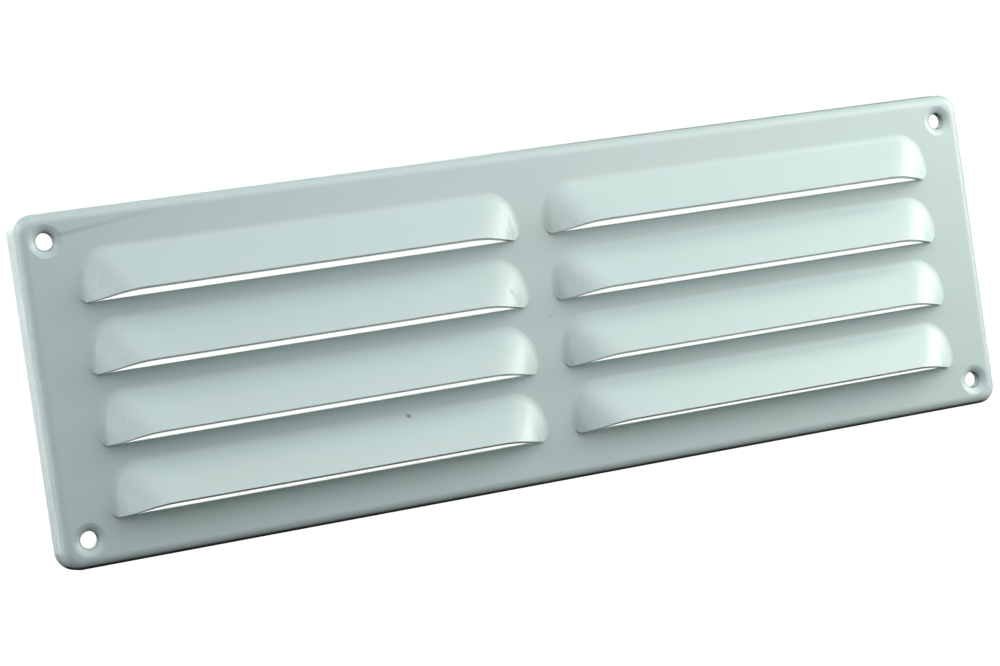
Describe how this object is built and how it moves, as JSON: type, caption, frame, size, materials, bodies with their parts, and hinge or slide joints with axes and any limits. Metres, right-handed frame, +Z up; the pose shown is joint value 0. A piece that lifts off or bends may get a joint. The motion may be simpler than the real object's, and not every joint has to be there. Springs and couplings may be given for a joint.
{
  "type": "louvred vent grille",
  "caption": "Rectangular vent cover pressed from one painted sheet, with columns of hooded louvres, a folded flange and dimpled corner screw holes.",
  "frame": {"origin": "middle of the rim's plane, where the flange rests on the wall", "axes": "X along the width, Y back into the wall, Z up; the louvres open downwards at the front"},
  "size_m": [0.229, 0.014, 0.076],
  "materials": {
    "painted_sheet": "satin"
  },
  "bodies": {
    "root": {"louvre_grille": "painted_sheet"}
  },
  "joints": []
}
